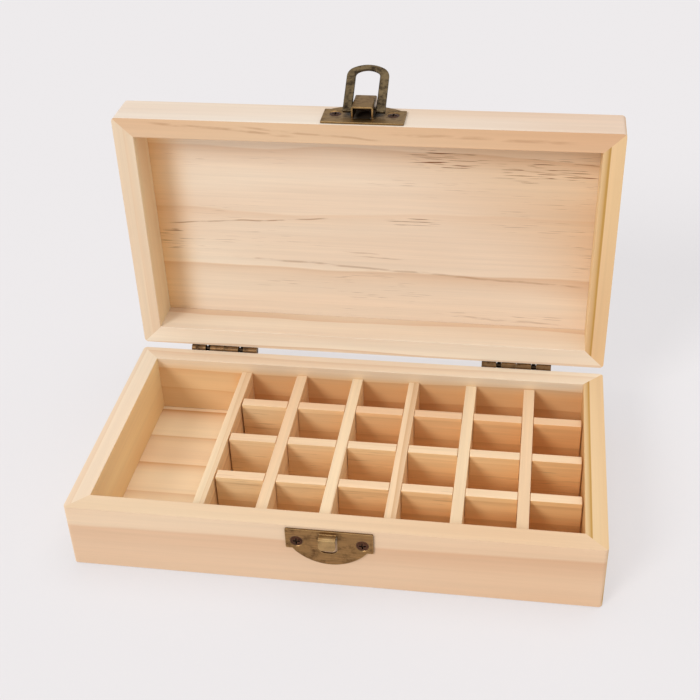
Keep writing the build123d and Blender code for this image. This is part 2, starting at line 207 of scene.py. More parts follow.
# Grain: surface
PINE_ROUGHNESS_RANGE, PINE_ROUGHNESS_LEAST = 0.22, 0.48
RING_RELIEF = 0.5
RESIN_RELIEF = 0.6
PINE_BUMP = {"Strength": 0.35, "Distance": 0.12 * MM}
PINE_SHINE = 0.3

# Metal tones
BRONZE_LIGHT = (160, 126, 80)
BRONZE_DARK = (86, 64, 42)
# Light colour of rubbed metal, which along the edges is a painted highlight too
BRONZE_WEAR_AND_HIGHLIGHT = (206, 176, 126)
KEEPER_LIGHT = (148, 114, 74)
KEEPER_DARK = (98, 70, 44)
LOOP_LIGHT = (100, 85, 62)
LOOP_DARK = (42, 34, 26)
HINGE_LIGHT = (122, 92, 62)
HINGE_DARK = (52, 37, 26)
PIN_LIGHT = (62, 48, 36)
PIN_DARK = (36, 28, 22)
SCREW_LIGHT = (86, 56, 42)
SCREW_DARK = (44, 25, 19)
# Light colour of the screws' rubbed rims, a painted highlight too
SCREW_WEAR_AND_HIGHLIGHT = (126, 98, 76)
# Painted shade: the metal darkens towards this in corners, recesses and under parts
RECESS_SHADE_BLACK = (24, 17, 12)

# Metal surface
CLOUD_WAVES = (210, 260, 260)
BRUSH_WAVES = (90, 2200, 2200)
PATINA_START = 0.7
PATINA_COVER = 0.5
PATINA_SOFTNESS = 0.3
BRUSH_CONTRAST = 1.1
METAL_ROUGHNESS_LEAST = 0.3
BRUSH_ROUGHNESS = 0.14
PATINA_ROUGHNESS = 0.2
BRUSH_RELIEF = 0.5
CLOUD_RELIEF = 0.8
BRONZE_BUMP = {"Strength": 0.3, "Distance": 0.05 * MM}
# The edge colour, rubbed metal with painted highlights and dark outlines: its reach and fall-off
EDGE_WEAR_AND_SHADING_RADIUS = 0.6 * MM
EDGE_WEAR_AND_SHADING_RANGE = (0.99, 0.86)
OPEN_RANGE = (0.25, 0.85)
# How far from corners and parts the painted shade on the metal reaches
PLATE_SHADE_REACH = 5 * MM
SMALL_SHADE_REACH = 2.5 * MM
RUBBED_RADIUS = 6 * MM
RUBBED_CORE = 0.6
RUBBED_SHARE = 0.4
HOOK_BELOW_PLATE_TOP = 6 * MM

# How a board's looks are given. What is kept is a share of red, green and blue.
Limit = namedtuple("Limit", "way start end")
Tint = namedtuple("Tint", "facing kept limits", defaults=[()])
Ramp = namedtuple("Ramp", "way start end kept")
Spot = namedtuple("Spot", "place reach strength")
ShadeSpot = namedtuple("ShadeSpot", "place reach kept")
Hairline = namedtuple("Hairline", "start_x start_z end_x end_z half_width depth")

FLOAT = "NodeSocketFloat"
VECTOR = "NodeSocketVector"
COLOUR = "NodeSocketColor"

BODY_OF = {node: body for body, group in frame["record"]["behaviour"]["bodies"].items() for node in group}


# Small helpers
def tone(rgb):
    """A display colour, 0 to 255, as the linear colour a shader takes."""
    linear = []
    for part in rgb:
        share = part / 255
        linear.append(share / 12.92 if share <= 0.04045 else ((share + 0.055) / 1.055) ** 2.4)
    return (*linear, 1.0)


def middle(node):
    """The middle of a node's box."""
    low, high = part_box(node)
    return (low + high) / 2


class Nodes:
    """Adds nodes to one tree and joins them."""

    def __init__(self, tree):
        self.tree = tree

    def add(self, kind, inputs=None, **settings):
        node = self.tree.nodes.new(kind)
        for name, value in settings.items():
            setattr(node, name, value)
        for name, value in (inputs or {}).items():
            self.feed(node.inputs[name], value)
        return node

    def feed(self, socket, value):
        if isinstance(value, bpy.types.NodeSocket):
            self.tree.links.new(value, socket)
        else:
            socket.default_value = value

    def use(self, group, inputs):
        """A node group with its inputs fed. Returns what comes out of it."""
        return self.add("ShaderNodeGroup", inputs, node_tree=group).outputs

    def math(self, operation, first, second=0.0, third=0.0, clamp=False):
        inputs = {0: first, 1: second, 2: third}
        return self.add("ShaderNodeMath", inputs, operation=operation, use_clamp=clamp).outputs[0]

    def vector(self, operation, first, second):
        """Two vectors joined to a new one."""
        return self.add("ShaderNodeVectorMath", {0: first, 1: second}, operation=operation).outputs[0]

    def measure(self, operation, first, second=(0, 0, 0)):
        """A number taken from one or two vectors, such as a length."""
        inputs = {0: first, 1: second}
        return self.add("ShaderNodeVectorMath", inputs, operation=operation).outputs["Value"]

    def noise(self, point, waves, detail=2.0, roughness=0.5):
        """Noise from 0 to 1, with its own scale along each axis."""
        stretched = self.vector("MULTIPLY", point, waves)
        inputs = {"Vector": stretched, "Scale": 1.0, "Detail": detail, "Roughness": roughness}
        return self.add("ShaderNodeTexNoise", inputs).outputs[0]

    def swing(self, noise):
        """A noise moved down so that it swings about 0."""
        return self.math("SUBTRACT", noise, 0.5)

    def step(self, value, low, high):
        """Goes smoothly from 0 at the first limit to 1 at the second."""
        inputs = {"Value": value, "From Min": low, "From Max": high}
        return self.add("ShaderNodeMapRange", inputs, interpolation_type="SMOOTHSTEP").outputs[0]

    def blend(self, share, first, second, kind="MIX"):
        node = self.add("ShaderNodeMix", data_type="RGBA", blend_type=kind)
        self.feed(node.inputs[0], share)
        self.feed(node.inputs[6], first)
        self.feed(node.inputs[7], second)
        return node.outputs[2]

    def shade(self, colour, level):
        """A colour times one level for red, green and blue."""
        grey = self.add("ShaderNodeCombineColor", {0: level, 1: level, 2: level}).outputs[0]
        return self.blend(1.0, colour, grey, kind="MULTIPLY")

    def keep(self, share, colour, kept):
        """Keeps only some of the red, green and blue of a colour where the share is 1."""
        return self.blend(share, colour, self.blend(1.0, colour, (*kept, 1.0), kind="MULTIPLY"))

    def nearness(self, point, place, reach):
        """1 near a place, falling to 0 at its reach along each axis."""
        away = self.vector("SUBTRACT", point, place)
        away = self.vector("MULTIPLY", away, [1 / size for size in reach])
        return self.step(self.measure("LENGTH", away), 1.0, SPOT_CORE)

    def surface(self, colour, texture, bump, more):
        """Joins a colour and a texture's roughness and height to a shader and the material's output."""
        bumped = self.add("ShaderNodeBump", {"Height": texture["Height"], **bump}).outputs[0]
        inputs = {"Base Color": colour, "Roughness": texture["Roughness"], "Normal": bumped, **more}
        shader = self.add("ShaderNodeBsdfPrincipled", inputs)
        self.add("ShaderNodeOutputMaterial", {"Surface": shader.outputs[0]})


def new_group(name, inputs, outputs):
    """An empty node group with its sockets. Returns its nodes, what comes into it and what goes out."""
    group = bpy.data.node_groups.new(name, "ShaderNodeTree")
    for label, kind in inputs.items():
        group.interface.new_socket(label, in_out="INPUT", socket_type=kind)
    for label, kind in outputs.items():
        group.interface.new_socket(label, in_out="OUTPUT", socket_type=kind)
    nodes = Nodes(group)
    entry = nodes.add("NodeGroupInput")
    leave = nodes.add("NodeGroupOutput")
    return nodes, entry.outputs, leave.inputs


def new_material(name):
    """A material without nodes yet. Returns it and its nodes."""
    material = bpy.data.materials.new(name)
    material.use_nodes = True
    material.node_tree.nodes.clear()
    return material, Nodes(material.node_tree)


# Pine
def build_pine_grain():
    """Growth rings, fibres and resin streaks. The point's X runs along the grain, with the pith as X axis."""
    nodes, given, out = new_group(
        "pine_grain",
        {
            "Point": VECTOR,
            "Ring Gap": FLOAT,
            "Ring Depth": FLOAT,
            "Ring Edge": FLOAT,
            "Ring Fade": FLOAT,
            "Wander": FLOAT,
            "Pale": COLOUR,
            "Blush": COLOUR,
            "Ring": COLOUR,
            "Streak": FLOAT,
            "Resin": FLOAT,
            "Resin Spot": FLOAT,
        },
        {"Colour": COLOUR, "Roughness": FLOAT, "Height": FLOAT},
    )
    point = given["Point"]

    # Distance from the pith, with the rings wandering a little along the board
    across = nodes.measure("LENGTH", nodes.vector("MULTIPLY", point, (0, 1, 1)))
    wave = nodes.noise(point, WANDER_WAVES, detail=2.5)
    drift = nodes.math("MULTIPLY", nodes.swing(wave), given["Wander"])
    rings = nodes.math("DIVIDE", nodes.math("ADD", across, drift), given["Ring Gap"])
    phase = nodes.math("FRACT", rings)
    year = nodes.math("FLOOR", rings)

    # Each year darkens slowly and ends sharply, and no two years are the same
    slow = nodes.math("POWER", phase, SLOW_RING_POWER)
    sharp = nodes.math("MULTIPLY", nodes.math("POWER", phase, SHARP_RING_POWER), given["Ring Edge"])
    late = nodes.math("ADD", nodes.math("MULTIPLY", slow, given["Ring Fade"]), sharp)
    late = nodes.math("MULTIPLY", late, nodes.step(phase, 1.0, RING_END))
    luck = nodes.add("ShaderNodeTexWhiteNoise", {"W": year}, noise_dimensions="1D").outputs[0]
    yearly = nodes.math("MULTIPLY_ADD", luck, YEAR_RANGE, YEAR_LEAST)
    weather = nodes.math("ADD", nodes.noise(point, WEATHER_WAVES, detail=1.0), WEATHER_LEAST)
    ring = nodes.math("MULTIPLY", late, nodes.math("MULTIPLY", yearly, weather))
    ring = nodes.math("MULTIPLY", ring, given["Ring Depth"], clamp=True)

    # Pale and pinkish patches, then the rings
    patch = nodes.step(nodes.noise(point, PATCH_WAVES), *PATCH_RANGE)
    colour = nodes.blend(patch, given["Pale"], given["Blush"])
    colour = nodes.blend(ring, colour, given["Ring"])

    # Fibres: fine ones for the touch, broader ones for the streaks seen from a step away
    fine = nodes.noise(point, FINE_FIBRE_WAVES, detail=3.0, roughness=0.6)
    broad = nodes.noise(point, BROAD_FIBRE_WAVES, detail=3.0, roughness=0.55)
    fine = nodes.math("MULTIPLY", fine, FINE_FIBRE_SHARE)
    fibre = nodes.math("ADD", fine, nodes.math("MULTIPLY", broad, 1 - FINE_FIBRE_SHARE))
    colour = nodes.shade(colour, nodes.math("MULTIPLY_ADD", nodes.swing(fibre), given["Streak"], 1.0))

    # Short dark resin dashes, in clusters
    fleck = nodes.noise(point, RESIN_DASH_WAVES, detail=1.5)
    fleck = nodes.math("MULTIPLY_ADD", given["Resin Spot"], RESIN_SPOT_LIFT, fleck)
    dash = nodes.step(fleck, *RESIN_DASH_RANGE)
    cluster = nodes.step(nodes.noise(point, RESIN_CLUSTER_WAVES, detail=1.0), *RESIN_CLUSTER_RANGE)
    where = nodes.math("MULTIPLY_ADD", cluster, given["Resin"], given["Resin Spot"])
    resin = nodes.math("MULTIPLY", dash, where, clamp=True)
    colour = nodes.blend(resin, colour, tone(RESIN_BROWN))

    nodes.feed(out["Colour"], colour)
    roughness = nodes.math("MULTIPLY_ADD", fibre, PINE_ROUGHNESS_RANGE, PINE_ROUGHNESS_LEAST)
    nodes.feed(out["Roughness"], roughness)
    relief = nodes.math("MULTIPLY_ADD", ring, RING_RELIEF, fibre)
    nodes.feed(out["Height"], nodes.math("SUBTRACT", relief, nodes.math("MULTIPLY", resin, RESIN_RELIEF)))
    return nodes.tree


def build_hairline():
    """A thin, broken and slightly wavering line along X, on a board that stands across Y."""
    nodes, given, out = new_group(
        "hairline",
        {
            "Point": VECTOR,
            "Start X": FLOAT,
            "End X": FLOAT,
            "Start Z": FLOAT,
            "Slope": FLOAT,
            "Half Width": FLOAT,
        },
        {"Share": FLOAT},
    )
    place = nodes.add("ShaderNodeSeparateXYZ", {0: given["Point"]}).outputs
    run = nodes.math("SUBTRACT", place["X"], given["Start X"])
    left = nodes.math("SUBTRACT", given["End X"], place["X"])
    waver = nodes.swing(nodes.noise(given["Point"], HAIRLINE_WAVES, detail=2.5))
    height = nodes.math("MULTIPLY_ADD", run, given["Slope"], given["Start Z"])
    height = nodes.math("MULTIPLY_ADD", waver, HAIRLINE_WAVER, height)
    away = nodes.math("ABSOLUTE", nodes.math("SUBTRACT", place["Z"], height))
    on_line = nodes.step(nodes.math("DIVIDE", away, given["Half Width"]), 1.0, HAIRLINE_EDGE)
    starts = nodes.step(run, 0.0, HAIRLINE_TAPER)
    ends = nodes.math("MULTIPLY", starts, nodes.step(left, 0.0, HAIRLINE_TAPER))
    unbroken = nodes.step(nodes.noise(given["Point"], HAIRLINE_GAP_WAVES), *HAIRLINE_GAP_RANGE)
    nodes.feed(out["Share"], nodes.math("MULTIPLY", nodes.math("MULTIPLY", on_line, ends), unbroken))
    return nodes.tree


PINE_GRAIN = build_pine_grain()
HAIRLINE = build_hairline()


def pine(name, along, pith, pale, blush, ring=RING_BROWN, ring_gap=12 * MM, ring_depth=0.5, ring_edge=0.5,
         ring_fade=0.55, wander=4 * MM, shift=0.0, lean=0.0, streak=0.26, resin=0.0, resin_spots=(),
         faces=(), ramps=(), hairlines=(), shade_spot=None):
    """Bare sanded pine for one board, with the grain along X, Y or Z.

    The pith is where the tree's middle lies, on the two axes that follow the grain's in the order X, Y, Z, X,
    Y. The shift moves the pattern along the board, so that boards differ, and the lean is how far the rings
    climb over each metre of it. Each tint in faces is for the faces turned its way, within its limits. Each
    entry of ramps changes the colour of the whole board along a direction. Both it and a limit start at one
    distance that way and are complete at the next.
    """
    material, nodes = new_material(name)
    place = nodes.add("ShaderNodeTexCoord").outputs
    split = nodes.add("ShaderNodeSeparateXYZ", {0: place["Object"]}).outputs
    first = "XYZ".index(along)
    length = split[first]
    climbed = nodes.math("MULTIPLY_ADD", length, -lean, split[(first + 2) % 3])
    turned = nodes.add("ShaderNodeCombineXYZ", {0: length, 1: split[(first + 1) % 3], 2: climbed})
    spotted = 0.0
    for spot in resin_spots:
        near = nodes.nearness(place["Object"], spot.place, spot.reach)
        spotted = nodes.math("MAXIMUM", spotted, nodes.math("MULTIPLY", near, spot.strength))
    grain = nodes.use(
        PINE_GRAIN,
        {
            "Point": nodes.vector("ADD", turned.outputs[0], (shift, -pith[0], -pith[1])),
            "Ring Gap": ring_gap,
            "Ring Depth": ring_depth,
            "Ring Edge": ring_edge,
            "Ring Fade": ring_fade,
            "Wander": wander,
            "Pale": tone(pale),
            "Blush": tone(blush),
            "Ring": tone(ring),
            "Streak": streak,
            "Resin": resin,
            "Resin Spot": spotted,
        },
    )
    colour = grain["Colour"]
    for tint in faces:
        share = nodes.step(nodes.measure("DOT_PRODUCT", place["Normal"], tint.facing), *FACING_RANGE)
        for limit in tint.limits:
            reached = nodes.measure("DOT_PRODUCT", place["Object"], limit.way)
            share = nodes.math("MULTIPLY", share, nodes.step(reached, limit.start, limit.end))
        colour = nodes.keep(share, colour, tint.kept)
    for change in ramps:
        reached = nodes.measure("DOT_PRODUCT", place["Object"], change.way)
        colour = nodes.keep(nodes.step(reached, change.start, change.end), colour, change.kept)
    for line in hairlines:
        drawn = nodes.use(
            HAIRLINE,
            {
                "Point": place["Object"],
                "Start X": line.start_x,
                "End X": line.end_x,
                "Start Z": line.start_z,
                "Slope": (line.end_z - line.start_z) / (line.end_x - line.start_x),
                "Half Width": line.half_width,
            },
        )
        colour = nodes.keep(nodes.math("MULTIPLY", drawn["Share"], line.depth), colour, HAIRLINE_KEPT)
    # Painted shade round one place, such as under the hasp's hood
    if shade_spot:
        colour = nodes.keep(nodes.nearness(place["Object"], shade_spot.place, shade_spot.reach), colour, shade_spot.kept)
    nodes.surface(colour, grain, PINE_BUMP, {"Specular IOR Level": PINE_SHINE})
    return material


# Aged bronze
def build_patina():
    """Brown patina and fine brushing on sheet metal."""
    nodes, given, out = new_group(
        "patina",
        {"Point": VECTOR, "Bright": COLOUR, "Dull": COLOUR, "Cover": FLOAT},
        {"Colour": COLOUR, "Roughness": FLOAT, "Height": FLOAT},
    )
    cloud = nodes.noise(given["Point"], CLOUD_WAVES, detail=6.0, roughness=0.68)
    brush = nodes.noise(given["Point"], BRUSH_WAVES, detail=3.0, roughness=0.6)
    low = nodes.math("SUBTRACT", PATINA_START, nodes.math("MULTIPLY", given["Cover"], PATINA_COVER))
    dull = nodes.step(cloud, low, nodes.math("ADD", low, PATINA_SOFTNESS))
    colour = nodes.blend(dull, given["Bright"], given["Dull"])
    brushed = nodes.math("MULTIPLY_ADD", nodes.swing(brush), BRUSH_CONTRAST, 1.0)
    nodes.feed(out["Colour"], nodes.shade(colour, brushed))
    rough = nodes.math("MULTIPLY_ADD", brush, BRUSH_ROUGHNESS, METAL_ROUGHNESS_LEAST)
    nodes.feed(out["Roughness"], nodes.math("MULTIPLY_ADD", dull, PATINA_ROUGHNESS, rough))
    relief = nodes.math("MULTIPLY", cloud, CLOUD_RELIEF)
    nodes.feed(out["Height"], nodes.math("MULTIPLY_ADD", brush, BRUSH_RELIEF, relief))
    return nodes.tree


def build_edge_wear_and_shading():
    """The convex edges, for rubbing and for painted edge highlights and dark outlines: 1 on the edge, 0 on the
    flats.
    """
    nodes, given, out = new_group("edge_wear_and_shading", {"Radius": FLOAT}, {"Wear And Shading": FLOAT})
    soft = nodes.add("ShaderNodeBevel", {"Radius": given["Radius"]}, samples=6).outputs[0]
    face = nodes.add("ShaderNodeNewGeometry").outputs["Normal"]
    nodes.feed(out["Wear And Shading"], nodes.step(nodes.measure("DOT_PRODUCT", soft, face), *EDGE_WEAR_AND_SHADING_RANGE))
    return nodes.tree


def build_recess_shade():
    """How clear of corners and holes a place is: 1 in the open, 0 deep in a recess, where shade is painted."""
    nodes, given, out = new_group("recess_shade", {"Reach": FLOAT}, {"Open": FLOAT})
    hidden = nodes.add("ShaderNodeAmbientOcclusion", {"Distance": given["Reach"]}, samples=8)
    nodes.feed(out["Open"], nodes.step(hidden.outputs["AO"], *OPEN_RANGE))
    return nodes.tree


PATINA = build_patina()
EDGE_WEAR_AND_SHADING = build_edge_wear_and_shading()
RECESS_SHADE = build_recess_shade()


def bronze(name, bright=BRONZE_LIGHT, dull=BRONZE_DARK, edge_wear_and_shading_colour=BRONZE_WEAR_AND_HIGHLIGHT, cover=0.5, edge_wear_and_shading_share=0.7,
           rubbed=None, recess_shade=SMALL_SHADE_REACH):
    """Bronze with patina, rubbed round the place where a part slides on it, if one is given. Its edges take
    their own
    colour: rubbed metal with a painted highlight where it is light, painted shade where it is dark.

    Painted shade darkens it within its own reach of corners, recesses and parts over it.
    """
    material, nodes = new_material(name)
    place = nodes.add("ShaderNodeTexCoord").outputs["Object"]
    patina = nodes.use(PATINA, {"Point": place, "Bright": tone(bright), "Dull": tone(dull), "Cover": cover})
    # Edge colour: rubbed metal with painted highlights, and on the loop painted dark outlines
    edge = nodes.use(EDGE_WEAR_AND_SHADING, {"Radius": EDGE_WEAR_AND_SHADING_RADIUS})
    share = nodes.math("MULTIPLY", edge["Wear And Shading"], edge_wear_and_shading_share)
    if rubbed:
        away = nodes.measure("DISTANCE", place, rubbed)
        polish = nodes.step(away, RUBBED_RADIUS, RUBBED_CORE * RUBBED_RADIUS)
        share = nodes.math("MAXIMUM", share, nodes.math("MULTIPLY", polish, RUBBED_SHARE))
    colour = nodes.blend(share, patina["Colour"], tone(edge_wear_and_shading_colour))
    # Painted shade: darker towards near-black in corners, recesses and under parts
    clear = nodes.use(RECESS_SHADE, {"Reach": recess_shade})
    colour = nodes.blend(clear["Open"], tone(RECESS_SHADE_BLACK), colour)
    nodes.surface(colour, patina, BRONZE_BUMP, {"Metallic": 1.0})
    return material


# Pieces
def is_mitre(face):
    """Whether a face is one of the 45 degree cuts where two walls meet."""
    sizes = sorted(abs(part) for part in face.normal)
    return sizes[0] < MITRE_SLACK and abs(sizes[1] - sizes[2]) < MITRE_SLACK


def eased(node, material, width, least_length=0.0, merge=True):
    """A node's own shape with its sharp edges softened, in the node's place and on its body.

    Merging joins the flat faces first. Curved metal is left as it is.
    """
    source = frame["nodes"][node]
    shape = bmesh.new()
    shape.from_mesh(source.data)
    bmesh.ops.remove_doubles(shape, verts=shape.verts, dist=WELD_DISTANCE)
    if merge:
        flat = math.radians(FLAT_ANGLE)
        bmesh.ops.dissolve_limit(shape, angle_limit=flat, verts=shape.verts, edges=shape.edges)
    sharp = []
    for edge in shape.edges:
        if len(edge.link_faces) != 2 or edge.calc_length() < least_length:
            continue
        if any(is_mitre(face) for face in edge.link_faces):
            continue
        if edge.calc_face_angle(0) > math.radians(SHARP_EDGE_ANGLE):
            sharp.append(edge)
    bmesh.ops.bevel(
        shape, geom=sharp, offset=width, segments=2, profile=0.5, affect="EDGES", clamp_overlap=False
    )
    mesh = bpy.data.meshes.new(node + "_eased")
    shape.to_mesh(mesh)
    shape.free()
    if "custom_normal" in mesh.attributes:
        mesh.attributes.remove(mesh.attributes["custom_normal"])
    mesh.shade_smooth()
    mesh.set_sharp_from_angle(angle=math.radians(SMOOTH_ANGLE))
    mesh.materials.clear()
    mesh.materials.append(material)
    piece = bpy.data.objects.new(node + "_eased", mesh)
    bpy.context.collection.objects.link(piece)
    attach(piece, BODY_OF[node])
    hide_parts(node)
    return piece


# Boards
def dress_wall(node, wood):
    eased(node, wood, BOARD_EASE, least_length=SHORTEST_BOARD_EDGE)


def hairlines_from(rows):
    """Hairlines from rows in millimetres."""
    return [Hairline(*[size * MM for size in sizes], depth) for *sizes, depth in rows]


def dress_base_walls():
    front = middle("base_front_wall")
    wood = pine(
        "front_wall_pine", "X", (front.y + 4 * MM, -92 * MM), ring_gap=60 * MM, ring_depth=1.6, ring_edge=0.12,
        wander=6 * MM, shift=0.31, lean=0.01, ring=ROSE_RING, **BASE_FRONT_TONES,
        faces=[Tint(UP, (0.91, 0.88, 0.86)), Tint(FRONT, (0.9, 0.86, 0.87))],
        # A little warmer towards the right end
        ramps=[Ramp(RIGHT, -20 * MM, 115 * MM, (0.99, 0.95, 0.91))],
    )
    dress_wall("base_front_wall", wood)

    back = middle("base_back_wall")
    below_dividers = Limit(DOWN, -34 * MM, -27 * MM)
    right_of_compartment = Limit(RIGHT, -74 * MM, -66 * MM)
    low_in_cells = Limit(DOWN, -31 * MM, -23 * MM)
    wood = pine(
        "back_wall_pine", "X", (back.y - 60 * MM, -30 * MM), ring_gap=9 * MM, wander=5 * MM, shift=1.7,
        **BASE_BACK_TONES,
        # Painted shade on the inner face: a touch darker all over, darker and more orange below the dividers'
        # tops, and more orange still low in the cells right of the compartment.
        faces=[
            Tint(FRONT, (0.97, 0.96, 0.92)),
            Tint(FRONT, (0.95, 0.78, 0.57), [below_dividers]),
            Tint(FRONT, (1.02, 0.86, 0.72), [right_of_compartment, low_in_cells]),
        ],
    )
    dress_wall("base_back_wall", wood)

    wood = pine(
        "left_wall_pine", "Y", (40 * MM, -260 * MM), ring_gap=14 * MM, ring_depth=0.4, shift=2.9,
        # Painted shade: the inner face, turned away from the key light, made more orange
        **BASE_LEFT_TONES, faces=[Tint(RIGHT, (1.1, 1.05, 0.8))],
    )
    dress_wall("base_left_wall", wood)

    low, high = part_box("base_right_wall")
    ring_gap = 11 * MM
    pith = (high.z, low.x + BASE_RING_LINE - RINGS_TO_PITH * ring_gap)
    wood = pine(
        "right_wall_pine", "Y", pith, ring_gap=ring_gap, ring_depth=2.2, ring_edge=0.9, ring_fade=0.08,
        wander=0.7 * MM, shift=4.1, ring=OLIVE_RING, **BASE_RIGHT_TONES,
        # Painted shade: the inner face in the cells made darker and more orange
        faces=[Tint(LEFT, (1.0, 0.85, 0.65))],
    )
    dress_wall("base_right_wall", wood)


def dress_lid_walls():
    front = middle("lid_front_wall")
    under_hood = (0, middle("hasp_plate").y, front.z + 5 * MM)
    wood = pine(
        "lid_front_pine", "X", (front.y - 5 * MM, front.z - 70 * MM), ring_gap=13 * MM, ring_depth=0.6,
        wander=7 * MM, shift=5.3, **LID_FRONT_TONES,
        # Painted light: the face turned up made much paler, for the light from overhead
        faces=[Tint(UP, (1.1, 1.42, 1.95))],
        # Warmer and darker towards the right end
        ramps=[Ramp(RIGHT, -40 * MM, 110 * MM, (0.96, 0.87, 0.81))],
        # Painted shade under the hasp's hood, where the wood lies in its shadow
        shade_spot=ShadeSpot(under_hood, (6 * MM, 9 * MM, 6 * MM), HOOD_SHADE_KEPT),
        hairlines=hairlines_from(LID_FRONT_HAIRLINES),
    )
    dress_wall("lid_front_wall", wood)

    back = middle("lid_back_wall")
    wood = pine(
        "lid_back_pine", "X", (back.y + 30 * MM, back.z - 60 * MM), ring_gap=10 * MM, wander=6 * MM, shift=6.9,
        **LID_BACK_TONES,
    )
    dress_wall("lid_back_wall", wood)

    wood = pine(
        "lid_left_pine", "Z", (60 * MM, 30 * MM), ring_gap=14 * MM, ring_depth=0.35, shift=8.2,
        # Painted light: the inner face made lighter
        **LID_LEFT_TONES, faces=[Tint(RIGHT, (1.12, 1.15, 1.05))],
    )
    dress_wall("lid_left_wall", wood)

    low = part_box("lid_right_wall")[0]
    ring_gap = 12 * MM
    pith = (low.x + LID_RING_LINE - RINGS_TO_PITH * ring_gap, low.y)
    wood = pine(
        "lid_right_pine", "Z", pith, ring_gap=ring_gap, ring_depth=2.2, ring_edge=0.9, ring_fade=0.08,
        wander=1.5 * MM, shift=9.6, ring=OLIVE_RING, **LID_RIGHT_TONES,
        # Painted light: the inner face made lighter and paler
        faces=[Tint(LEFT, (1.15, 1.3, 1.4))],
    )
    dress_wall("lid_right_wall", wood)


def dress_panels():
    wood = pine(
        "floor_panel_pine", "X", (-308.1 * MM, 0), ring_gap=22.6 * MM, ring_depth=1.3, ring_edge=0.8,
        ring_fade=0.12, wander=1.5 * MM, shift=11.0, **FLOOR_TONES,
    )
    eased("base_bottom_panel", wood, PANEL_EASE)

    top = middle("lid_top_panel")
    spots = [
        Spot((x * MM, top.y, z * MM), (reach_x * MM, RESIN_REACH_THROUGH, reach_z * MM), strength)
        for x, z, reach_x, reach_z, strength in LID_RESIN_SPOTS
    ]
    left_end = Limit(LEFT, 90 * MM, 115 * MM)
    upper_right = Limit((0.6, 0, 0.8), 100 * MM, 160 * MM)
    wood = pine(
        "lid_panel_pine", "X", (top.y + 20 * MM, top.z - 160 * MM), ring_gap=34 * MM, ring_depth=0.7,
        ring_fade=0.25, wander=18 * MM, shift=12.6, streak=0.34, resin=0.4, resin_spots=spots,
        hairlines=hairlines_from(LID_PANEL_HAIRLINES), **LID_PANEL_TONES,
        # Painted shade at the left end: the wood made orange, as the left wall's shadow lit by light bounced
        # off that wall. Towards the upper right the panel is darker and warmer.
        faces=[
            Tint(FRONT, (1.0, 0.77, 0.48), [left_end]),
            Tint(FRONT, (0.89, 0.79, 0.68), [upper_right]),
        ],
    )
    eased("lid_top_panel", wood, PANEL_EASE)


def dress_dividers():
    # Painted light on the cross dividers: their tops made much paler than the front faces, and the upper part
    # of the front faces lighter. The front faces are also lighter towards the left of the box and darker
    # towards the right, and the long dividers' tops a little darker and less yellow.
    cross_faces = [
        Tint(UP, (0.97, 1.17, 1.66)),
        Tint(FRONT, (1.05, 1.15, 1.28), [Limit(UP, 16 * MM, 28 * MM)]),
        Tint(FRONT, (1.02, 1.14, 1.28), [Limit(LEFT, -20 * MM, 55 * MM)]),
        Tint(FRONT, (0.96, 0.88, 0.78), [Limit(RIGHT, 45 * MM, 105 * MM)]),
    ]
    long_faces = [Tint(UP, (0.88, 0.93, 1.06))]
    dividers = sorted(node for node in BODY_OF if "divider" in node or "partition" in node)
    for number, node in enumerate(dividers):
        place = middle(node)
        swing = math.sin(number * NEXT_DIVIDER_SWING)
        if node.startswith("cross"):
            along, tones, faces = "X", CROSS_DIVIDER_TONES, cross_faces
            pith = (place.y + 30 * MM, place.z - (45 + 25 * swing) * MM)
        else:
            along, tones, faces = "Y", LONG_DIVIDER_TONES, long_faces
            pith = (place.z - 40 * MM, place.x + (35 + 20 * swing) * MM)
        wood = pine(
            node + "_pine", along, pith, ring_gap=(8 + 3 * swing) * MM, ring_depth=0.5 + 0.15 * swing,
            shift=FIRST_DIVIDER_SHIFT + number * NEXT_DIVIDER_SHIFT, streak=0.45, resin=0.3,
            faces=faces, **tones,
        )
        eased(node, wood, DIVIDER_EASE, least_length=SHORTEST_DIVIDER_EDGE)


# Fittings
def islands(shape):
    """The separate lumps of a mesh, in the order of its corners, each as a list of its corners' places."""
    seen = set()
    lumps = []
    for start in shape.verts:
        if start in seen:
            continue
        seen.add(start)
        queue = [start]
        lump = []
        while queue:
            corner = queue.pop()
            lump.append(corner.co.copy())
            for edge in corner.link_edges:
                other = edge.other_vert(corner)
                if other not in seen:
                    seen.add(other)
                    queue.append(other)
        lumps.append(lump)
    return lumps


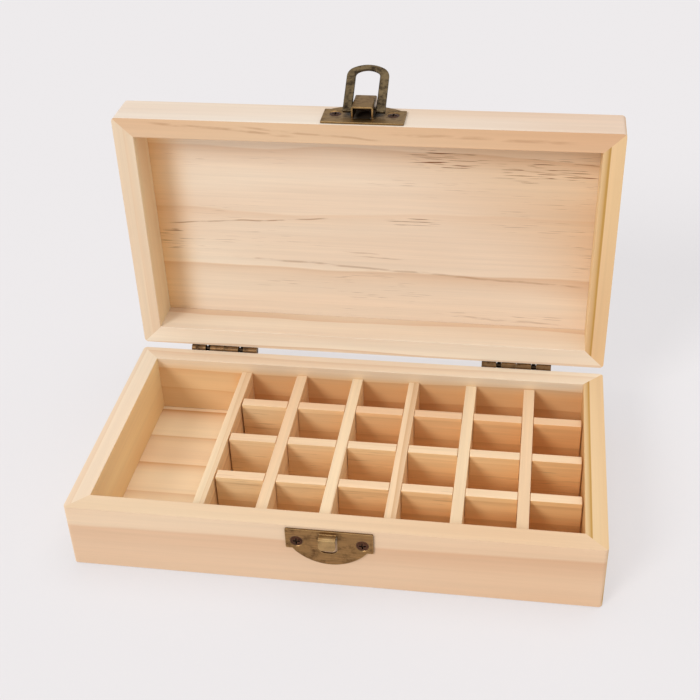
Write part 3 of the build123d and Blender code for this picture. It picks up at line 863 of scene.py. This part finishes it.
def cut_crosses(piece, out):
    """Cuts a cross recess into each flat screw head of a piece. Out is the direction the heads face."""
    axis = Vector(out)
    flat_one = axis.orthogonal().normalized()
    flat_two = axis.cross(flat_one)
    shape = bmesh.new()
    shape.from_mesh(piece.data)
    lumps = islands(shape)
    shape.free()
    cutter = bmesh.new()
    for number, lump in enumerate(lumps):
        top = max(corner.dot(axis) for corner in lump)
        head = [corner for corner in lump if corner.dot(axis) > top - HEAD_FACE_DEPTH]
        centre = sum(head, Vector()) / len(head)
        radius = max((corner - centre).length for corner in head)
        angle = number * NEXT_CROSS_TURN + FIRST_CROSS_TURN
        for turn in (angle, angle + math.pi / 2):
            along = flat_one * math.cos(turn) + flat_two * math.sin(turn)
            across = axis.cross(along)
            half = [
                along * radius * CROSS_REACH,
                across * radius * CROSS_HALF_WIDTH,
                axis * CROSS_DEPTH * MM,
            ]
            corners = [
                cutter.verts.new(centre + half[0] * i + half[1] * j + half[2] * k)
                for i in (-1, 1) for j in (-1, 1) for k in (-1, 1)
            ]
            bmesh.ops.convex_hull(cutter, input=corners)
    mesh = bpy.data.meshes.new("cross_cutter")
    cutter.to_mesh(mesh)
    cutter.free()
    tool = bpy.data.objects.new("cross_cutter", mesh)
    bpy.context.collection.objects.link(tool)
    cut = piece.modifiers.new("crosses", "BOOLEAN")
    cut.operation = "DIFFERENCE"
    cut.solver = "EXACT"
    cut.use_self = True
    cut.object = tool
    bpy.context.view_layer.update()
    result = bpy.data.meshes.new_from_object(piece.evaluated_get(bpy.context.evaluated_depsgraph_get()))
    piece.modifiers.clear()
    result.materials.clear()
    result.materials.append(piece.data.materials[0])
    piece.data = result
    bpy.data.objects.remove(tool)
    bpy.data.meshes.remove(mesh)


def dress_fittings():
    low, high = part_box("keeper_plate")
    hook = ((low.x + high.x) / 2, low.y, high.z - HOOK_BELOW_PLATE_TOP)
    # The light edge colours below are rubbed metal with a painted highlight
    keeper = bronze(
        "keeper_bronze", bright=KEEPER_LIGHT, dull=KEEPER_DARK, rubbed=hook, recess_shade=PLATE_SHADE_REACH
    )
    plate = bronze("plate_bronze", recess_shade=PLATE_SHADE_REACH)
    hinge = bronze("hinge_bronze", bright=HINGE_LIGHT, dull=HINGE_DARK, cover=0.6, edge_wear_and_shading_share=0.4)
    pin = bronze("pin_bronze", bright=PIN_LIGHT, dull=PIN_DARK, edge_wear_and_shading_colour=HINGE_LIGHT, edge_wear_and_shading_share=0.3)
    # The loop's dark edge colour is painted shade, for its dark outlines
    loop = bronze("loop_bronze", bright=LOOP_LIGHT, dull=LOOP_DARK, edge_wear_and_shading_colour=PIN_DARK, cover=0.62, edge_wear_and_shading_share=0.75)
    screw = bronze("screw_bronze", bright=SCREW_LIGHT, dull=SCREW_DARK, edge_wear_and_shading_colour=SCREW_WEAR_AND_HIGHLIGHT, edge_wear_and_shading_share=0.6)
    for node in BODY_OF:
        if node.endswith("_leaf"):
            eased(node, hinge, SHEET_EASE, merge=False)
        elif node.endswith("_pin"):
            eased(node, pin, PIN_EASE, merge=False)
        elif node.endswith("_plate"):
            eased(node, keeper if node == "keeper_plate" else plate, SHEET_EASE, merge=False)
        elif node.endswith("_screws"):
            piece = eased(node, screw, SCREW_EASE, merge=False)
            if node == "base_hinge_screws":
                cut_crosses(piece, BACK)
            elif node == "lid_hinge_screws":
                cut_crosses(piece, DOWN)
        elif node == "hasp_loop":
            eased(node, loop, LOOP_EASE, merge=False)


# Studio
def studio_paper():
    """Matt paper. The camera sees mostly its plain colour and a share of the light and shadow on it."""
    material, nodes = new_material("studio_paper")
    rays = nodes.add("ShaderNodeLightPath").outputs
    plain_share = nodes.math("MULTIPLY", rays["Is Camera Ray"], 1 - PAPER_SHADOW_SHARE)
    matt = nodes.add("ShaderNodeBsdfDiffuse", {"Color": tone(STUDIO_WHITE)})
    plain = nodes.add("ShaderNodeEmission", {"Color": tone(PAPER_SEEN), "Strength": 1.0})
    mixed = nodes.add("ShaderNodeMixShader", {0: plain_share, 1: matt.outputs[0], 2: plain.outputs[0]})
    nodes.add("ShaderNodeOutputMaterial", {"Surface": mixed.outputs[0]})
    return material


def build_floor():
    """The sheet of paper that the box stands on."""
    mesh = bpy.data.meshes.new("studio_floor")
    corners = [(x * FLOOR_REACH, y * FLOOR_REACH, 0) for x, y in ((-1, -1), (1, -1), (1, 1), (-1, 1))]
    mesh.from_pydata(corners, [], [(0, 1, 2, 3)])
    mesh.materials.append(studio_paper())
    floor = bpy.data.objects.new("studio_floor", mesh)
    floor.location.z = CAD_BOX[0][2]
    bpy.context.collection.objects.link(floor)


def build_room():
    """An even glow from all round, and a plain wall where the camera sees past the floor."""
    world = bpy.data.worlds.new("studio_world")
    bpy.context.scene.world = world
    world.use_nodes = True
    world.node_tree.nodes.clear()
    nodes = Nodes(world.node_tree)
    rays = nodes.add("ShaderNodeLightPath").outputs
    seen = nodes.math("ADD", rays["Is Camera Ray"], rays["Is Transmission Ray"], clamp=True)
    glow = nodes.add("ShaderNodeBackground", {"Color": tone(WHITE), "Strength": ROOM_LEVEL})
    backdrop = nodes.add("ShaderNodeBackground", {"Color": tone(STUDIO_WHITE), "Strength": 1.0})
    mixed = nodes.add("ShaderNodeMixShader", {0: seen, 1: glow.outputs[0], 2: backdrop.outputs[0]})
    nodes.add("ShaderNodeOutputWorld", {"Surface": mixed.outputs[0]})


def sun(name, place, level, spread):
    """A broad, even white light that shines from a direction."""
    data = bpy.data.lights.new(name, "SUN")
    data.energy = level
    data.angle = math.radians(spread)
    lamp = bpy.data.objects.new(name, data)
    lamp.rotation_euler = Vector(place).to_track_quat("Z", "Y").to_euler()
    bpy.context.collection.objects.link(lamp)


def build_camera():
    data = bpy.data.cameras.new("camera")
    data.lens = LENS
    data.sensor_width = SENSOR_WIDTH
    data.clip_start = NEAREST_SEEN
    camera = bpy.data.objects.new("camera", data)
    camera.location = CAMERA_PLACE
    camera.rotation_euler = [math.radians(angle) for angle in CAMERA_TURN]
    bpy.context.collection.objects.link(camera)
    bpy.context.scene.camera = camera


dress_base_walls()
dress_lid_walls()
dress_panels()
dress_dividers()
dress_fittings()
build_floor()
build_room()
sun("key_window", KEY_FROM, KEY_LEVEL, KEY_SPREAD)
sun("overhead", TOP_FROM, TOP_LEVEL, TOP_SPREAD)
build_camera()
bpy.context.scene.view_settings.view_transform = "Standard"
